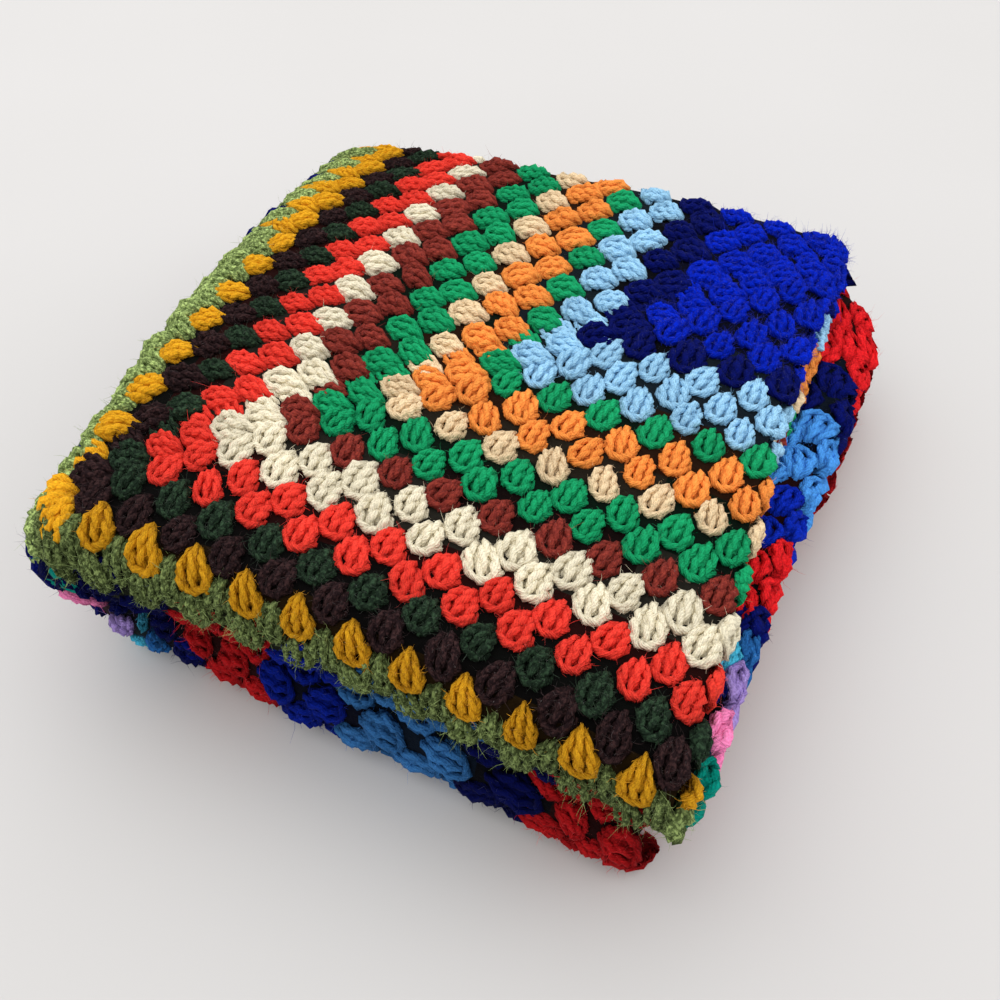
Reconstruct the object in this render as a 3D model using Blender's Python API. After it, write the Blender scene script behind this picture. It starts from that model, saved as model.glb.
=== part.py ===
"""A granny square blanket, folded in four both ways: one crocheted sheet lying in sixteen layers.

The sheet is one section of eight layers (folded back and forth at the front and the back) that is
carried from the right edge to the left, round the left fold, and back to the right underneath.
Metres, +Z up, the bottom layer flat on z = 0. Shapes are worked out from the back right corner of
the top layer and moved over the origin at the end.
"""
import bpy
import bmesh
import math

# the cloth
CLOTH = 0.0044            # thickness of one crocheted layer
AIR = 0.0005              # room between two layers
PITCH = CLOTH + AIR       # from one layer to the next
BUNDLE = 8                # layers above, and again below, the middle of the stack
HALF_STACK = BUNDLE * PITCH - AIR / 2

# the folded outline
ACROSS = 0.267            # from the right edge to where the left fold starts to turn
DEEP = 0.2800             # from the back right corner to where the front folds start to turn
BACK = 0.030              # the back edge stands this far behind that corner
DEPTH = BACK + DEEP + BUNDLE * PITCH / 2
UNIT = 0.300              # the length that the easings below are measured in
FRONT_SQUARE = 0.4        # how far the front folds are from round
LEFT_SQUARE = 1.0         # how far the outside of the left fold is from round

# how the pile has settled
FRONT_RISE = 0.012        # the front folds hold more air than the back
CORNER_RISE = 0.004
RIGHT_DROOP = 0.0020      # the top slopes down to its right edge
BACK_DROOP = 0.0015       # and to its back edge
EASE = 0.030              # over this length
LEFT_TAPER = 0.150        # the left fold comes in towards the front
RIGHT_LEAN = 0.011        # and the right edge goes out
BACK_BOW = 0.030          # the back edge bows out
BACK_CUT = 0.055          # then in towards the left
FRONT_BOW = 0.0120        # the front edge bows in
FRONT_CORNER = 0.022      # then out at the left corner
LOW_CORNER = 1.1          # how fast the uncovered back corner falls away

# how far the layers stick out to the right past the top one
STEP_FRONT = 0.007        # layers 5 to 8, just behind the front folds
STEP_START = 0.030        # the length in which that step starts, from the front
STEP_GAIN = 0.020         # what they gain towards the back
STEP_LENGTH = 0.240       # over this length
LOWER_STEP = 0.002        # the lower bundle goes this much further
LOWER_SHORT = 0.007       # but falls short of the front right corner
ROUNDING = 0.0022         # the outer layers of a folded pair stand back

# stations along a layer, from the front fold to the back, and from the left fold to the right
RUN = (-DEEP, -0.232, -0.182, -0.130, -0.078, -0.030, -0.008)
FLAT = (-ACROSS, -0.215, -0.160, -0.105, -0.058, -0.036, -0.015)
LEFT_STEPS = 10           # steps round the left fold
HAIRPIN_STEPS = 4         # steps round a fold at the back

# the layers of a bundle in the order the sheet runs through them
#        layer, heads for, shortfall at the back, share of the rounding at the right
SHEET = ((8, "front", 0.004, 1.0),
         (1, "back", 0.0, 1.0),
         (2, "front", 0.0, 0.0),
         (7, "back", 0.002, 0.0),
         (6, "front", 0.002, 0.2),
         (3, "back", 0.003, 0.0),
         (4, "front", 0.003, 1.0),
         (5, "back", 0.006, 1.0))


def smooth(t):
    t = min(1.0, max(0.0, t))
    return t * t * (3 - 2 * t)


def ramp(distance):
    """Eases from level into a slope of 1, in units of EASE."""
    t = max(0.0, distance / EASE)
    return t * t / 2 if t < 1 else t - 0.5


def squared(part, square):
    """Cosine or sine of a turn, pushed out towards a square corner."""
    return math.copysign(abs(part) ** (2 / (2 + square)), part)


def middle_of(layer):
    """Height of a layer's middle above the middle of the stack."""
    return AIR / 2 + CLOTH / 2 + (BUNDLE - layer) * PITCH


def turn(y, start, end, way, left_is_outside, steps):
    """Both faces of the sheet round a fold, from the height start to the height end."""
    middle = (start + end) / 2
    radius = abs(end - start) / 2
    left = radius + (CLOTH / 2 if left_is_outside else -CLOTH / 2)
    faces = []
    for i in range(1, steps):
        angle = math.pi * (i / steps - 0.5) * (1 if end > start else -1)
        pair = []
        for r in (left, 2 * radius - left):
            square = FRONT_SQUARE * r / (BUNDLE * PITCH / 2)
            pair.append((y + way * r * squared(math.cos(angle), square),
                         middle + r * squared(math.sin(angle), square)))
        faces.append((pair, i / steps, math.sin(angle)))
    return faces


def section():
    """The sheet through one bundle: its two faces, its share of the lower layers' step out to
    the right, and its share of the rounding there."""
    path = []
    for index, (layer, way, short, rounding) in enumerate(SHEET):
        d = middle_of(layer)
        to_front = way == "front"
        left = -CLOTH / 2 if to_front else CLOTH / 2
        cut = index in (0, len(SHEET) - 1)
        back = BACK - short - (0 if cut else PITCH / 2)
        stops = RUN + (back,)
        if to_front:
            stops = stops[::-1]
        low = 1.0 if layer > BUNDLE // 2 else 0.0
        path += [(((y, d + left), (y, d - left)), low, rounding) for y in stops]
        if index == len(SHEET) - 1:
            break
        after, _, _, next_rounding = SHEET[index + 1]
        end = middle_of(after)
        rises = end > d
        steps = 5 + round(abs(end - d) / 2 / CLOTH) if to_front else HAIRPIN_STEPS
        y = -DEEP if to_front else back
        for pair, t, up in turn(y, d, end, -1 if to_front else 1, rises == to_front, steps):
            share = (1 - up) / 2 if to_front else low
            path.append((pair, share, rounding + (next_rounding - rounding) * t))
    return path


def stations():
    """The way of the section across the pile: (x or None for the right end, out, up)."""
    upper = [(None, 0.0, 1.0)] + [(x, 0.0, 1.0) for x in FLAT[::-1]]
    round_left = []
    for i in range(1, LEFT_STEPS):
        angle = math.pi * (0.5 - i / LEFT_STEPS)
        round_left.append((-ACROSS, math.cos(angle), math.sin(angle)))
    lower = [(x, 0.0, -1.0) for x in FLAT] + [(None, 0.0, -1.0)]
    return upper + round_left + lower


def right_end(y, share, rounding, under):
    start = smooth((y + DEEP + BUNDLE * PITCH / 2) / STEP_START)
    step = STEP_FRONT * start + STEP_GAIN * smooth((y + DEEP) / STEP_LENGTH)
    reach = step + LOWER_STEP - LOWER_SHORT * (1 - start) if under else step * share
    return reach - ROUNDING * rounding


def settle(x, y, z):
    """Lets a point of the square-built pile sink and spread to where it lies."""
    a = max(0.0, -x / UNIT)
    b = max(0.0, -y / UNIT)
    rise = FRONT_RISE * b * b + CORNER_RISE * a * b
    rise -= RIGHT_DROOP * ramp(x + EASE + 0.015)
    rise -= BACK_DROOP * ramp(y + EASE + 0.008)
    t = (BACK - y) / DEPTH
    bow = (BACK_BOW * a - BACK_CUT * a * a) * (1 - t) + (FRONT_BOW * a - FRONT_CORNER * a ** 3) * t
    fall = LOW_CORNER * max(0.0, x) * smooth((y + 0.10) / (BACK + 0.10))
    return (x * (1 - LEFT_TAPER * b * b) + RIGHT_LEAN * b * b,
            y + bow - fall,
            z * (1 + rise / (2 * HALF_STACK)))


def place(station, point, share, rounding):
    x, out, up = station
    y, d = point
    if x is None:
        x = right_end(y, share, rounding, up < 0)
    square = LEFT_SQUARE * d / HALF_STACK
    return settle(x - d * squared(out, square), y, HALF_STACK + d * squared(up, square))


def sheet_points():
    """Rows of points, one row for each station: the left face then the right face."""
    path = section()
    rows = []
    for station in stations():
        for face in (0, 1):
            rows.append([place(station, pair[face], share, rounding)
                         for pair, share, rounding in path])
    return rows


def sheet_mesh(name):
    rows = sheet_points()
    points = [p for row in rows for p in row]
    low = [min(p[i] for p in points) for i in range(3)]
    high = [max(p[i] for p in points) for i in range(3)]
    shift = ((low[0] + high[0]) / 2, (low[1] + high[1]) / 2, low[2])
    bm = bmesh.new()
    grid = [[bm.verts.new([p[i] - shift[i] for i in range(3)]) for p in row] for row in rows]
    left, right = grid[0::2], grid[1::2]
    last = len(left[0]) - 1
    for s in range(len(left) - 1):
        for j in range(last):
            bm.faces.new((left[s][j], left[s][j + 1], left[s + 1][j + 1], left[s + 1][j]))
            bm.faces.new((right[s][j], right[s + 1][j], right[s + 1][j + 1], right[s][j + 1]))
        for j in (0, last):
            bm.faces.new((left[s][j], left[s + 1][j], right[s + 1][j], right[s][j]))
    for s in (0, len(left) - 1):
        for j in range(last):
            bm.faces.new((left[s][j], right[s][j], right[s][j + 1], left[s][j + 1]))
    bmesh.ops.recalc_face_normals(bm, faces=bm.faces)
    mesh = bpy.data.meshes.new(name)
    bm.to_mesh(mesh)
    bm.free()
    return mesh


def wool(name, color):
    material = bpy.data.materials.new(name)
    material.use_nodes = True
    shader = material.node_tree.nodes["Principled BSDF"]
    shader.inputs["Base Color"].default_value = color
    shader.inputs["Roughness"].default_value = 0.9
    return material


def build():
    for old in list(bpy.data.objects):
        bpy.data.objects.remove(old, do_unlink=True)
    pile = bpy.data.collections.new("granny_square_blanket")
    bpy.context.scene.collection.children.link(pile)
    mesh = sheet_mesh("blanket")
    mesh.materials.append(wool("crocheted_wool", (0.02, 0.04, 0.30, 1.0)))
    blanket = bpy.data.objects.new("blanket", mesh)
    pile.objects.link(blanket)


build()
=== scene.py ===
"""A granny square blanket of crocheted wool, folded in four both ways.

Its rounds are worked out from the middle of the open blanket: a cluster of three tall stitches
lies every APART along a round, and each round is ROUND wide. The clusters are laid on
the folded sheet by their place (u, v) in the open blanket, to the left and to the front of its
middle, so they bend round the folds with it. Metres.
"""
import math

import bpy
import numpy as np
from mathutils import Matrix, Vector


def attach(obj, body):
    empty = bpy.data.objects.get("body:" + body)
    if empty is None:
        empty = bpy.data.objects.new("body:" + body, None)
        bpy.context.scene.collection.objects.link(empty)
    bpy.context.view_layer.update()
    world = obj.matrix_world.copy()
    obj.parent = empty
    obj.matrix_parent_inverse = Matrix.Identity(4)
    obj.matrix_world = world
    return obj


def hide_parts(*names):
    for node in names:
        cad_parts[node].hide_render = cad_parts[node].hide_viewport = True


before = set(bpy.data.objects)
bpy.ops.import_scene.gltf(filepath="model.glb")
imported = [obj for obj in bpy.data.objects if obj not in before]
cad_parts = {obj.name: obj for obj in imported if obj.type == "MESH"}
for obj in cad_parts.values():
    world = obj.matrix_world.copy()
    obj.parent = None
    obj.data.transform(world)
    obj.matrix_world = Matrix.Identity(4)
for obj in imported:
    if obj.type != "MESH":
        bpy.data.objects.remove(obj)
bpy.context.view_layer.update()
rng = np.random.default_rng(26)

# ---- the folded sheet, as its solid
CLOTH, AIR = 0.0044, 0.0005  # thickness of a layer, and the room between two
LAYER = CLOTH + AIR
BUNDLE = 8  # layers above, and again below, the middle
HALF_STACK = BUNDLE * LAYER - AIR / 2
ACROSS, DEEP, BACK = 0.267, 0.280, 0.030  # from the corner to the left, front and back turns
DEPTH = BACK + DEEP + BUNDLE * LAYER / 2
UNIT = 0.300  # the length that the easings are measured in
FRONT_SQUARE, LEFT_SQUARE = 0.4, 1.0  # how far the folds are from round
FRONT_RISE, CORNER_RISE = 0.012, 0.004
RIGHT_DROOP, BACK_DROOP, EASE = 0.0020, 0.0015, 0.030
RIGHT_DROOP_IN, BACK_DROOP_IN = 0.015, 0.008
LEFT_TAPER, RIGHT_LEAN = 0.150, 0.011
BACK_BOW, BACK_CUT = 0.030, 0.055
FRONT_BOW, FRONT_CORNER = 0.0120, 0.022
LOW_CORNER, LOW_CORNER_LENGTH = 1.1, 0.10  # how the uncovered back corner falls away
STEP_FRONT, STEP_START, STEP_GAIN, STEP_LENGTH = 0.007, 0.030, 0.020, 0.240
LOWER_STEP, LOWER_SHORT = 0.002, 0.007
CORNER = np.array((0.13844, 0.13581, 0.0))  # the top layer's back right corner in the frame
BACK_SHORT = {1: 0.0, 2: 0.0, 3: 0.003, 4: 0.003, 5: 0.006, 6: 0.002, 7: 0.002, 8: 0.004}
SHEET_ORDER = ((8, "front"), (1, "back"), (2, "front"), (7, "back"), (6, "front"), (3, "back"),
               (4, "front"), (5, "back"))  # the layers of a bundle as the sheet runs

# ---- the crochet
ROUND = 0.012  # width of one round
APART = 0.024  # from one cluster of a round to the next
TOP_ROUNDS = 26  # rounds from the middle of the blanket to the front fold
ALL_ROUNDS = 52
STITCH_APART = 0.0050  # between the three stitches of a cluster
CLUSTER_LENGTH = 0.0208
YARN_RADIUS = 0.00150
TWIST_RADIUS = 0.00105  # how far two yarns lie from the middle of their twist
FLOOR_CLEAR = 0.0004
# how wide a round comes to lie, as a share of its true width: at the back right corner, and
# what that gains by a, to the left, and by b, to the front, in units of UNIT
PULL_ACROSS = (0.86, 0.31, -0.26, 0.07)  # at the corner, by a, by a * a, by a * b
PULL_ALONG = (1.17, 0.70, -1.11)  # at the corner, by a, by a * a
CROWD_ALONG = (0.13, 0.69, -1.06)  # the same, but taken off b times
MIDDLE_BEHIND = 0.0111  # the blanket's middle lies behind the corner

# ---- how the crochet departs from it
TIGHT_FOLD = LAYER / 2  # radius of a fold of one layer on the next, at their middle
TOP_FOLD_IN = 0.0055  # the fold of layers 1 and 2 starts this far in from the right
TOP_FOLD_IN_MORE = 0.0030  # and this much further in at the back
NEXT_FOLD_IN = 0.0045  # and the fold of layers 3 and 4 below it
NEXT_FOLD_MORE = 0.0070  # which lies this much further in at the front
THIRD_FOLD_IN = 0.0020  # the folds below these
LEFT_STRETCH = 0.020  # the round along the left fold is pulled longer
LEFT_STRETCH_FROM = 25.2 * ROUND
CORNER_STRETCH = 0.4  # share of that stretch at the front
LOWER_CORNER_IN = (0.005, 0.010)  # the lower bundle's front left corner sits in from its solid
LOWER_CORNER, LOWER_CORNER_TOP = (0.17, 0.10), (0.030, 0.025)  # its start and length, its top
LOWER_LEFT = 0.014  # the rounds below that corner are drawn round to the left
LOWER_LEFT_END = (29, 5)  # less from that round on, over so many rounds
LOWER_CROWD = 0.0225  # the outer rounds crowd leftwards on the lower bundle
SIDE_TUCK = 0.0030  # the lower right side sits in by this much half way along
EDGE_CLEAR = -0.0015  # the highest open edge stops this far short of its solid
EDGE_LAYER_IN = 0.0021  # each layer below it by this much more
EDGE_IN = 0.0100  # and all of them by this much more at the front
LOWER_FRONT_SHORT = 0.0105  # the front fold of the lower bundle ends this far in
PLEAT_ACROSS, PLEAT_ALONG = -0.0096, 0.0117  # the left rounds are tucked in beside the corners
PLEAT_SINK = 0.0016
FOLD_BACK = 0.0040  # the rounds on the front fold lie this far back
CORNER_BACK = 0.0035  # and this much further at its left corner
MOSS_CORNER_IN = 0.0045  # where the last round of the top is drawn in to the right


def middle_of(layer):
    return AIR / 2 + CLOTH / 2 + (BUNDLE - layer) * LAYER


def smooth(t):
    t = np.clip(t, 0.0, 1.0)
    return t * t * (3 - 2 * t)


def eased(place, start, length):
    """0 up to start, 1 from start + length on, smooth between them."""
    return smooth((place - start) / length)


def ramp(distance):
    t = np.maximum(0.0, distance / EASE)
    return np.where(t < 1, t * t / 2, t - 0.5)


def unit(ways):
    return ways / np.linalg.norm(ways, axis=1)[:, None]


def squared(part, square):
    return np.sign(part) * np.abs(part) ** (2 / (2 + square))


def turn_table(radius, square):
    """Angle from the top against the length travelled, over a quarter of a squared turn."""
    angle = np.linspace(0, math.pi / 2, 300)
    x = radius * squared(np.sin(angle), square)
    z = radius * squared(np.cos(angle), square)
    travelled = np.concatenate([[0.0], np.cumsum(np.hypot(np.diff(x), np.diff(z)))])
    return angle, travelled


FRONT_TURN = turn_table(middle_of(1) - BUNDLE / 2 * LAYER, FRONT_SQUARE * 3.5 / 4)
LEFT_TURN = turn_table(middle_of(1), LEFT_SQUARE)
HALF_ROUND_LEFT = 2 * LEFT_TURN[1][-1]


def turn_angle(travelled, table):
    """Angle from the top, and what is left over once the half turn is done."""
    angle, length = table
    quarter = length[-1]
    first = np.interp(travelled, length, angle)
    second = math.pi - np.interp(2 * quarter - travelled, length, angle)
    return np.where(travelled <= quarter, first, second), np.maximum(travelled - 2 * quarter, 0)


def section(s, h):
    """Where the outer layer runs, from s behind the corner (below 0) to s in front of it."""
    middle = BUNDLE / 2 * LAYER
    angle, over = turn_angle(s - DEEP, FRONT_TURN)
    r = np.maximum(middle_of(1) - middle + h, 0.0005)
    square = FRONT_SQUARE * r / middle
    y = np.where(s < DEEP, -s, -DEEP - r * squared(np.sin(angle), square) + over)
    d = middle + r * squared(np.cos(angle), square)
    back = BACK - LAYER / 2
    past = -s - back
    bend = np.clip(past / (LAYER / 2), 0, math.pi)
    r = LAYER / 2 + h
    left_over = np.maximum(past - math.pi * LAYER / 2, 0)
    y = np.where(past > 0, back + r * np.sin(bend) - left_over, y)
    d = np.where(past > 0, middle_of(1) - LAYER / 2 + r * np.cos(bend), d)
    return y, d


def settle(x, y, z):
    """Lets a point of the square-built pile sink and spread to where it lies."""
    a = np.maximum(0.0, -x / UNIT)
    b = np.maximum(0.0, -y / UNIT)
    rise = FRONT_RISE * b * b + CORNER_RISE * a * b
    rise = rise - RIGHT_DROOP * ramp(x + EASE + RIGHT_DROOP_IN)
    rise = rise - BACK_DROOP * ramp(y + EASE + BACK_DROOP_IN)
    t = (BACK - y) / DEPTH
    bow = (BACK_BOW * a - BACK_CUT * a * a) * (1 - t) + (FRONT_BOW * a - FRONT_CORNER * a ** 3) * t
    fall = eased(y, -LOW_CORNER_LENGTH, BACK + LOW_CORNER_LENGTH)
    fall = LOW_CORNER * np.maximum(0.0, x) * fall
    corner = eased(-x, *LOWER_CORNER) * eased(-y, *LOWER_CORNER)
    corner = corner * (1 - eased(z, *LOWER_CORNER_TOP))
    z = np.maximum(z * (1 + rise / (2 * HALF_STACK)), FLOOR_CLEAR)
    x = x * (1 - LEFT_TAPER * b * b) + RIGHT_LEAN * b * b + LOWER_CORNER_IN[0] * corner
    return np.stack([x, y + bow - fall + LOWER_CORNER_IN[1] * corner, z], -1) + CORNER


def right_end(y, under):
    """Where a layer's solid ends at the right, past the corner of the top layer."""
    start = eased(y, -DEEP - BUNDLE * LAYER / 2, STEP_START)
    step = STEP_FRONT * start + STEP_GAIN * eased(y, -DEEP, STEP_LENGTH)
    return step + LOWER_STEP - LOWER_SHORT * (1 - start) if under else step


def tucked(y):
    """How far the lower right side sits in from its solid."""
    return SIDE_TUCK * eased(y, -0.23, 0.09) * (1 - 0.5 * eased(y, -0.05, 0.07))


def drawn_in(y):
    """How much further in the second fold lies towards the front."""
    return NEXT_FOLD_MORE * (1 - eased(y, -0.18, 0.12))


def edge_in(y, layer):
    """How far the open edges lie in from the end of their solid."""
    front = EDGE_IN * (1 - eased(y, -0.16, 0.05))
    return EDGE_CLEAR + EDGE_LAYER_IN * (BUNDLE - layer) + front + tucked(y)


def top_fold_in(s):
    return TOP_FOLD_IN + TOP_FOLD_IN_MORE * eased(-s, -0.18, 0.06)


def lay(p, s, h):
    """A point of the outer sheet: p leftwards from the right edge, s forwards from the back
    corner, h above the middle of the layer. It goes round every fold that it meets."""
    edge = top_fold_in(s)
    bend = np.clip((edge - p) / TIGHT_FOLD, 0, math.pi)
    under = np.maximum(edge - p - math.pi * TIGHT_FOLD, 0)
    folded = p < edge
    x = np.where(folded, -edge + (TIGHT_FOLD + h) * np.sin(bend) - under, -p)
    inner = np.where(folded, (TIGHT_FOLD + h) * np.cos(bend) - TIGHT_FOLD, h)
    y, d = section(s, inner)
    angle, over = turn_angle(p - ACROSS, LEFT_TURN)
    square = LEFT_SQUARE * d / HALF_STACK
    x = np.where(p < ACROSS, x, -ACROSS - d * squared(np.sin(angle), square) + over)
    return settle(x, y, HALF_STACK + d * squared(np.cos(angle), square))


def round_a_fold(q, h, centre, upper):
    """A point of the tight fold between the layer upper and the one below it: q over the top of
    the fold (above 0) or under it (below 0). Gives how far out and how high it lies."""
    bend = np.clip(q / TIGHT_FOLD, -math.pi / 2, math.pi / 2)
    flat = np.maximum(np.abs(q) - TIGHT_FOLD * math.pi / 2, 0)
    out = centre + (TIGHT_FOLD + h) * np.cos(bend) - flat
    return out, middle_of(upper) - TIGHT_FOLD + (TIGHT_FOLD + h) * np.sin(bend)


def lay_on_right_fold(upper):
    """The fold at the right of the layer upper with the one below it."""
    def place(q, y, h):
        if upper == 3:
            centre = -NEXT_FOLD_IN - drawn_in(y)
        else:
            centre = right_end(y, False) - TIGHT_FOLD - THIRD_FOLD_IN - tucked(y)
        x, d = round_a_fold(q, h, centre, upper)
        return settle(x, y, HALF_STACK + d)
    return place


def lay_on_edge(layer):
    """The open edge of one lower layer at the right: q inwards from it, h through the layer."""
    def place(q, y, h):
        x = right_end(y, True) - edge_in(y, layer) - q
        return settle(x, y, HALF_STACK - middle_of(layer) - h)
    return place


def lay_on_back_edge(layer, under):
    """The open edge of one layer at the back."""
    def place(q, x, h):
        y = BACK - BACK_SHORT[layer] - q
        return settle(x, y + 0 * x, HALF_STACK + (-1 if under else 1) * (middle_of(layer) + h))
    return place


def lay_on_back_fold(upper, under):
    """A fold at the back between the layer upper and the one below it."""
    def place(q, x, h):
        y, d = round_a_fold(q, h, BACK - BACK_SHORT[upper] - TIGHT_FOLD, upper)
        return settle(x, y, HALF_STACK + (-1 if under else 1) * d)
    return place


def pulled(u, v):
    """Where a place of the open blanket lies on the folded sheet. The rounds are pulled wide
    towards the back right and crowd towards the left."""
    whole = TOP_ROUNDS * ROUND
    cu, cv = np.minimum(u, whole), np.minimum(v, whole)
    a, b = np.maximum(cu, 0) / UNIT, np.maximum(cv, 0) / UNIT
    start, by_a, by_aa, by_ab = PULL_ACROSS
    p = cu * (start + by_a * a + by_aa * a * a + by_ab * a * b)
    (start, by_a, by_aa), (crowd, crowd_a, crowd_aa) = PULL_ALONG, CROWD_ALONG
    crowded = (crowd + crowd_a * a + crowd_aa * a * a) * b
    s = cv * (start + by_a * a + by_aa * a * a - crowded)
    s = s + (v - cv) - MIDDLE_BEHIND
    end = 2 * ACROSS + HALF_ROUND_LEFT + right_end(-np.minimum(s, DEEP + 0.018), True) - 0.002
    share = (u - cu) / whole
    stretch = LEFT_STRETCH * eased(u, LEFT_STRETCH_FROM, ROUND)
    stretch = stretch * (1 - (1 - CORNER_STRETCH) * eased(v, 0.27, 0.04))
    in_front = eased(s, DEEP - 0.02, 0.02)
    short = edge_in(-s, 1) * (1 - in_front) + LOWER_FRONT_SHORT * in_front
    p = p + share * (end - p) + stretch * (1 - share) - short * eased(share, 0.85, 0.15)
    return p - LOWER_CROWD * np.sin(math.pi * np.clip((share - 0.1) / 0.8, 0, 1)), s


# ---- colours of the rounds
def srgb(r, g, b):
    linear = [c / 3294.6 if c <= 10 else ((c / 255 + 0.055) / 1.055) ** 2.4 for c in (r, g, b)]
    return (*linear, 1.0)


#   yarn: its colour, the colour of its flecks, how many flecks, how hairy
YARNS = {
    "royal": ((0, 38, 198), (0, 16, 128), 0.5, 2.8),
    "navy": ((3, 14, 96), (0, 5, 54), 0.4, 1.6),
    "sky": ((158, 208, 240), (120, 175, 218), 0.3, 0.5),
    "emerald": ((24, 160, 102), (12, 118, 74), 0.3, 0.6),
    "orange": ((246, 152, 72), (230, 118, 44), 0.3, 0.5),
    "beige": ((240, 214, 174), (208, 178, 138), 0.4, 0.7),
    "maroon": ((146, 58, 47), (100, 32, 32), 0.6, 1.3),
    "cream": ((238, 230, 204), (215, 200, 170), 0.3, 0.8),
    "coral": ((238, 66, 52), (205, 40, 38), 0.4, 0.9),
    "bottle": ((50, 72, 52), (14, 24, 18), 0.8, 1.3),
    "aubergine": ((60, 40, 40), (18, 10, 14), 0.8, 1.3),
    "mustard": ((232, 170, 34), (200, 130, 18), 0.4, 0.7),
    "moss": ((184, 208, 128), (40, 58, 24), 0.75, 1.5),
    "teal": ((0, 132, 116), (0, 90, 86), 0.4, 1.0),
    "pink": ((244, 136, 188), (225, 100, 160), 0.3, 0.9),
    "lilac": ((164, 140, 208), (130, 104, 180), 0.3, 0.9),
    "turquoise": ((74, 184, 218), (50, 150, 190), 0.3, 0.9),
    "midblue": ((38, 100, 166), (20, 66, 124), 0.4, 0.9),
    "scarlet": ((230, 34, 38), (180, 12, 26), 0.5, 1.8),
    "cobalt": ((6, 40, 176), (0, 20, 116), 0.4, 1.2),
    "azure": ((72, 146, 222), (46, 108, 186), 0.3, 1.0),
}
YARN_NAMES = list(YARNS)
SCARLET = YARN_NAMES.index("scarlet")

# first round, last round, yarn
ROUNDS = ((1, 7, "royal"), (8, 8, "navy"), (9, 11, "sky"), (12, 12, "emerald"), (13, 14, "orange"),
          (15, 15, "beige"), (16, 17, "emerald"), (18, 18, "maroon"), (19, 20, "cream"),
          (21, 22, "coral"), (23, 23, "bottle"), (24, 24, "aubergine"), (25, 25, "mustard"),
          (26, 26, "moss"), (27, 27, "teal"), (28, 28, "navy"), (29, 29, "pink"), (30, 30, "navy"),
          (31, 31, "lilac"), (32, 32, "turquoise"), (33, 33, "midblue"), (34, 35, "navy"),
          (36, 39, "scarlet"), (40, 42, "cobalt"), (43, 46, "azure"), (47, 48, "navy"),
          (49, 52, "scarlet"))
YARN_OF_ROUND = {n: yarn for first, last, yarn in ROUNDS for n in range(first, last + 1)}
CREAM_ENDS = 2.2  # on the left round 19 changes its yarn this many clusters from its corner
MUSTARD_STARTS = 8.9  # and round 26 from here
TEAL_GAP = (1.2, 9)  # round 27 is navy between these


def yarn_of(n, side="front", from_corner=10):
    """The number of the yarn of one cluster. Some rounds were joined part way along a side."""
    name = YARN_OF_ROUND[int(min(max(n, 1), ALL_ROUNDS))]
    if n == TOP_ROUNDS + 1 and TEAL_GAP[0] < from_corner < TEAL_GAP[1]:
        name = "navy"
    if side == "left":
        if n == 9:
            name = "navy"
        elif n == 19 and from_corner > CREAM_ENDS:
            name = "maroon"
        elif n == TOP_ROUNDS and from_corner > MUSTARD_STARTS:
            name = "mustard"
    return YARN_NAMES.index(name)


# ---- shading
class Value:
    """A value in a shader. Sums and products of values add their own Math nodes."""

    def __init__(self, tree, socket):
        self.tree, self.socket = tree, socket

    def maths(self, operation, *others, first=None):
        node = self.tree.nodes.new("ShaderNodeMath")
        node.operation = operation
        terms = [self if first is None else first, *others]
        for place, term in zip(node.inputs, terms):
            if isinstance(term, Value):
                self.tree.links.new(term.socket, place)
            else:
                place.default_value = term
        return Value(self.tree, node.outputs[0])

    def __add__(self, other):
        return self.maths("ADD", other)

    __radd__ = __add__

    def __sub__(self, other):
        return self.maths("SUBTRACT", other)

    def __rsub__(self, other):
        return self.maths("SUBTRACT", self, first=other)

    def __mul__(self, other):
        return self.maths("MULTIPLY", other)

    __rmul__ = __mul__

    def __pow__(self, other):
        return self.maths("POWER", other)

    def sine(self):
        return self.maths("SINE")

    def limited(self):
        return self.maths("MINIMUM", 1.0).maths("MAXIMUM", 0.0)


class Shading:
    """The node tree of one material."""

    def __init__(self, name):
        self.material = bpy.data.materials.new(name)
        self.material.use_nodes = True
        self.tree = self.material.node_tree
        self.surface = self.tree.nodes["Principled BSDF"]

    def node(self, kind, settings=None, values=None):
        """Adds a node: its settings first, then the values or links of its sockets."""
        node = self.tree.nodes.new(kind)
        for key, value in (settings or {}).items():
            setattr(node, key, value)
        self.fill(node, values or {})
        return node

    def fill(self, node, values):
        for key, value in values.items():
            if isinstance(value, Value):
                self.tree.links.new(value.socket, node.inputs[key])
            else:
                node.inputs[key].default_value = value

    def out(self, node, key=0):
        return Value(self.tree, node.outputs[key])

    def place(self):
        return self.out(self.node("ShaderNodeTexCoord"), "Object")

    def mix(self, factor, first, second, blend="MIX"):
        settings = {"data_type": "RGBA", "blend_type": blend}
        return self.out(self.node("ShaderNodeMix", settings, {0: factor, 6: first, 7: second}), 2)

    def noise(self, vector, scale, detail=2.0):
        return self.out(self.node("ShaderNodeTexNoise", {}, {"Vector": vector, "Scale": scale,
                                                             "Detail": detail}))

    def attribute(self, name):
        return self.out(self.node("ShaderNodeAttribute", {"attribute_name": name}), "Fac")

    def bump(self, height, distance):
        return self.out(self.node("ShaderNodeBump", {}, {"Height": height, "Strength": 0.8,
                                                         "Distance": distance}))

    def finish(self, values):
        """Sets the surface, and gives the material."""
        self.fill(self.surface, values)
        return self.material


def darker(color, share):
    return (*(c * share for c in color[:3]), 1.0)


PLIES, PLIES_PER_CM = 6, 4.5
# how fine the patterns in the wool are
BLOTCH, DRIFT, HAIR, LOOSE_HAIR = 70.0, 300.0, 520.0, 700.0
FLECK, GRAIN, LINT = 750.0, 1300.0, 3200.0


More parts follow.
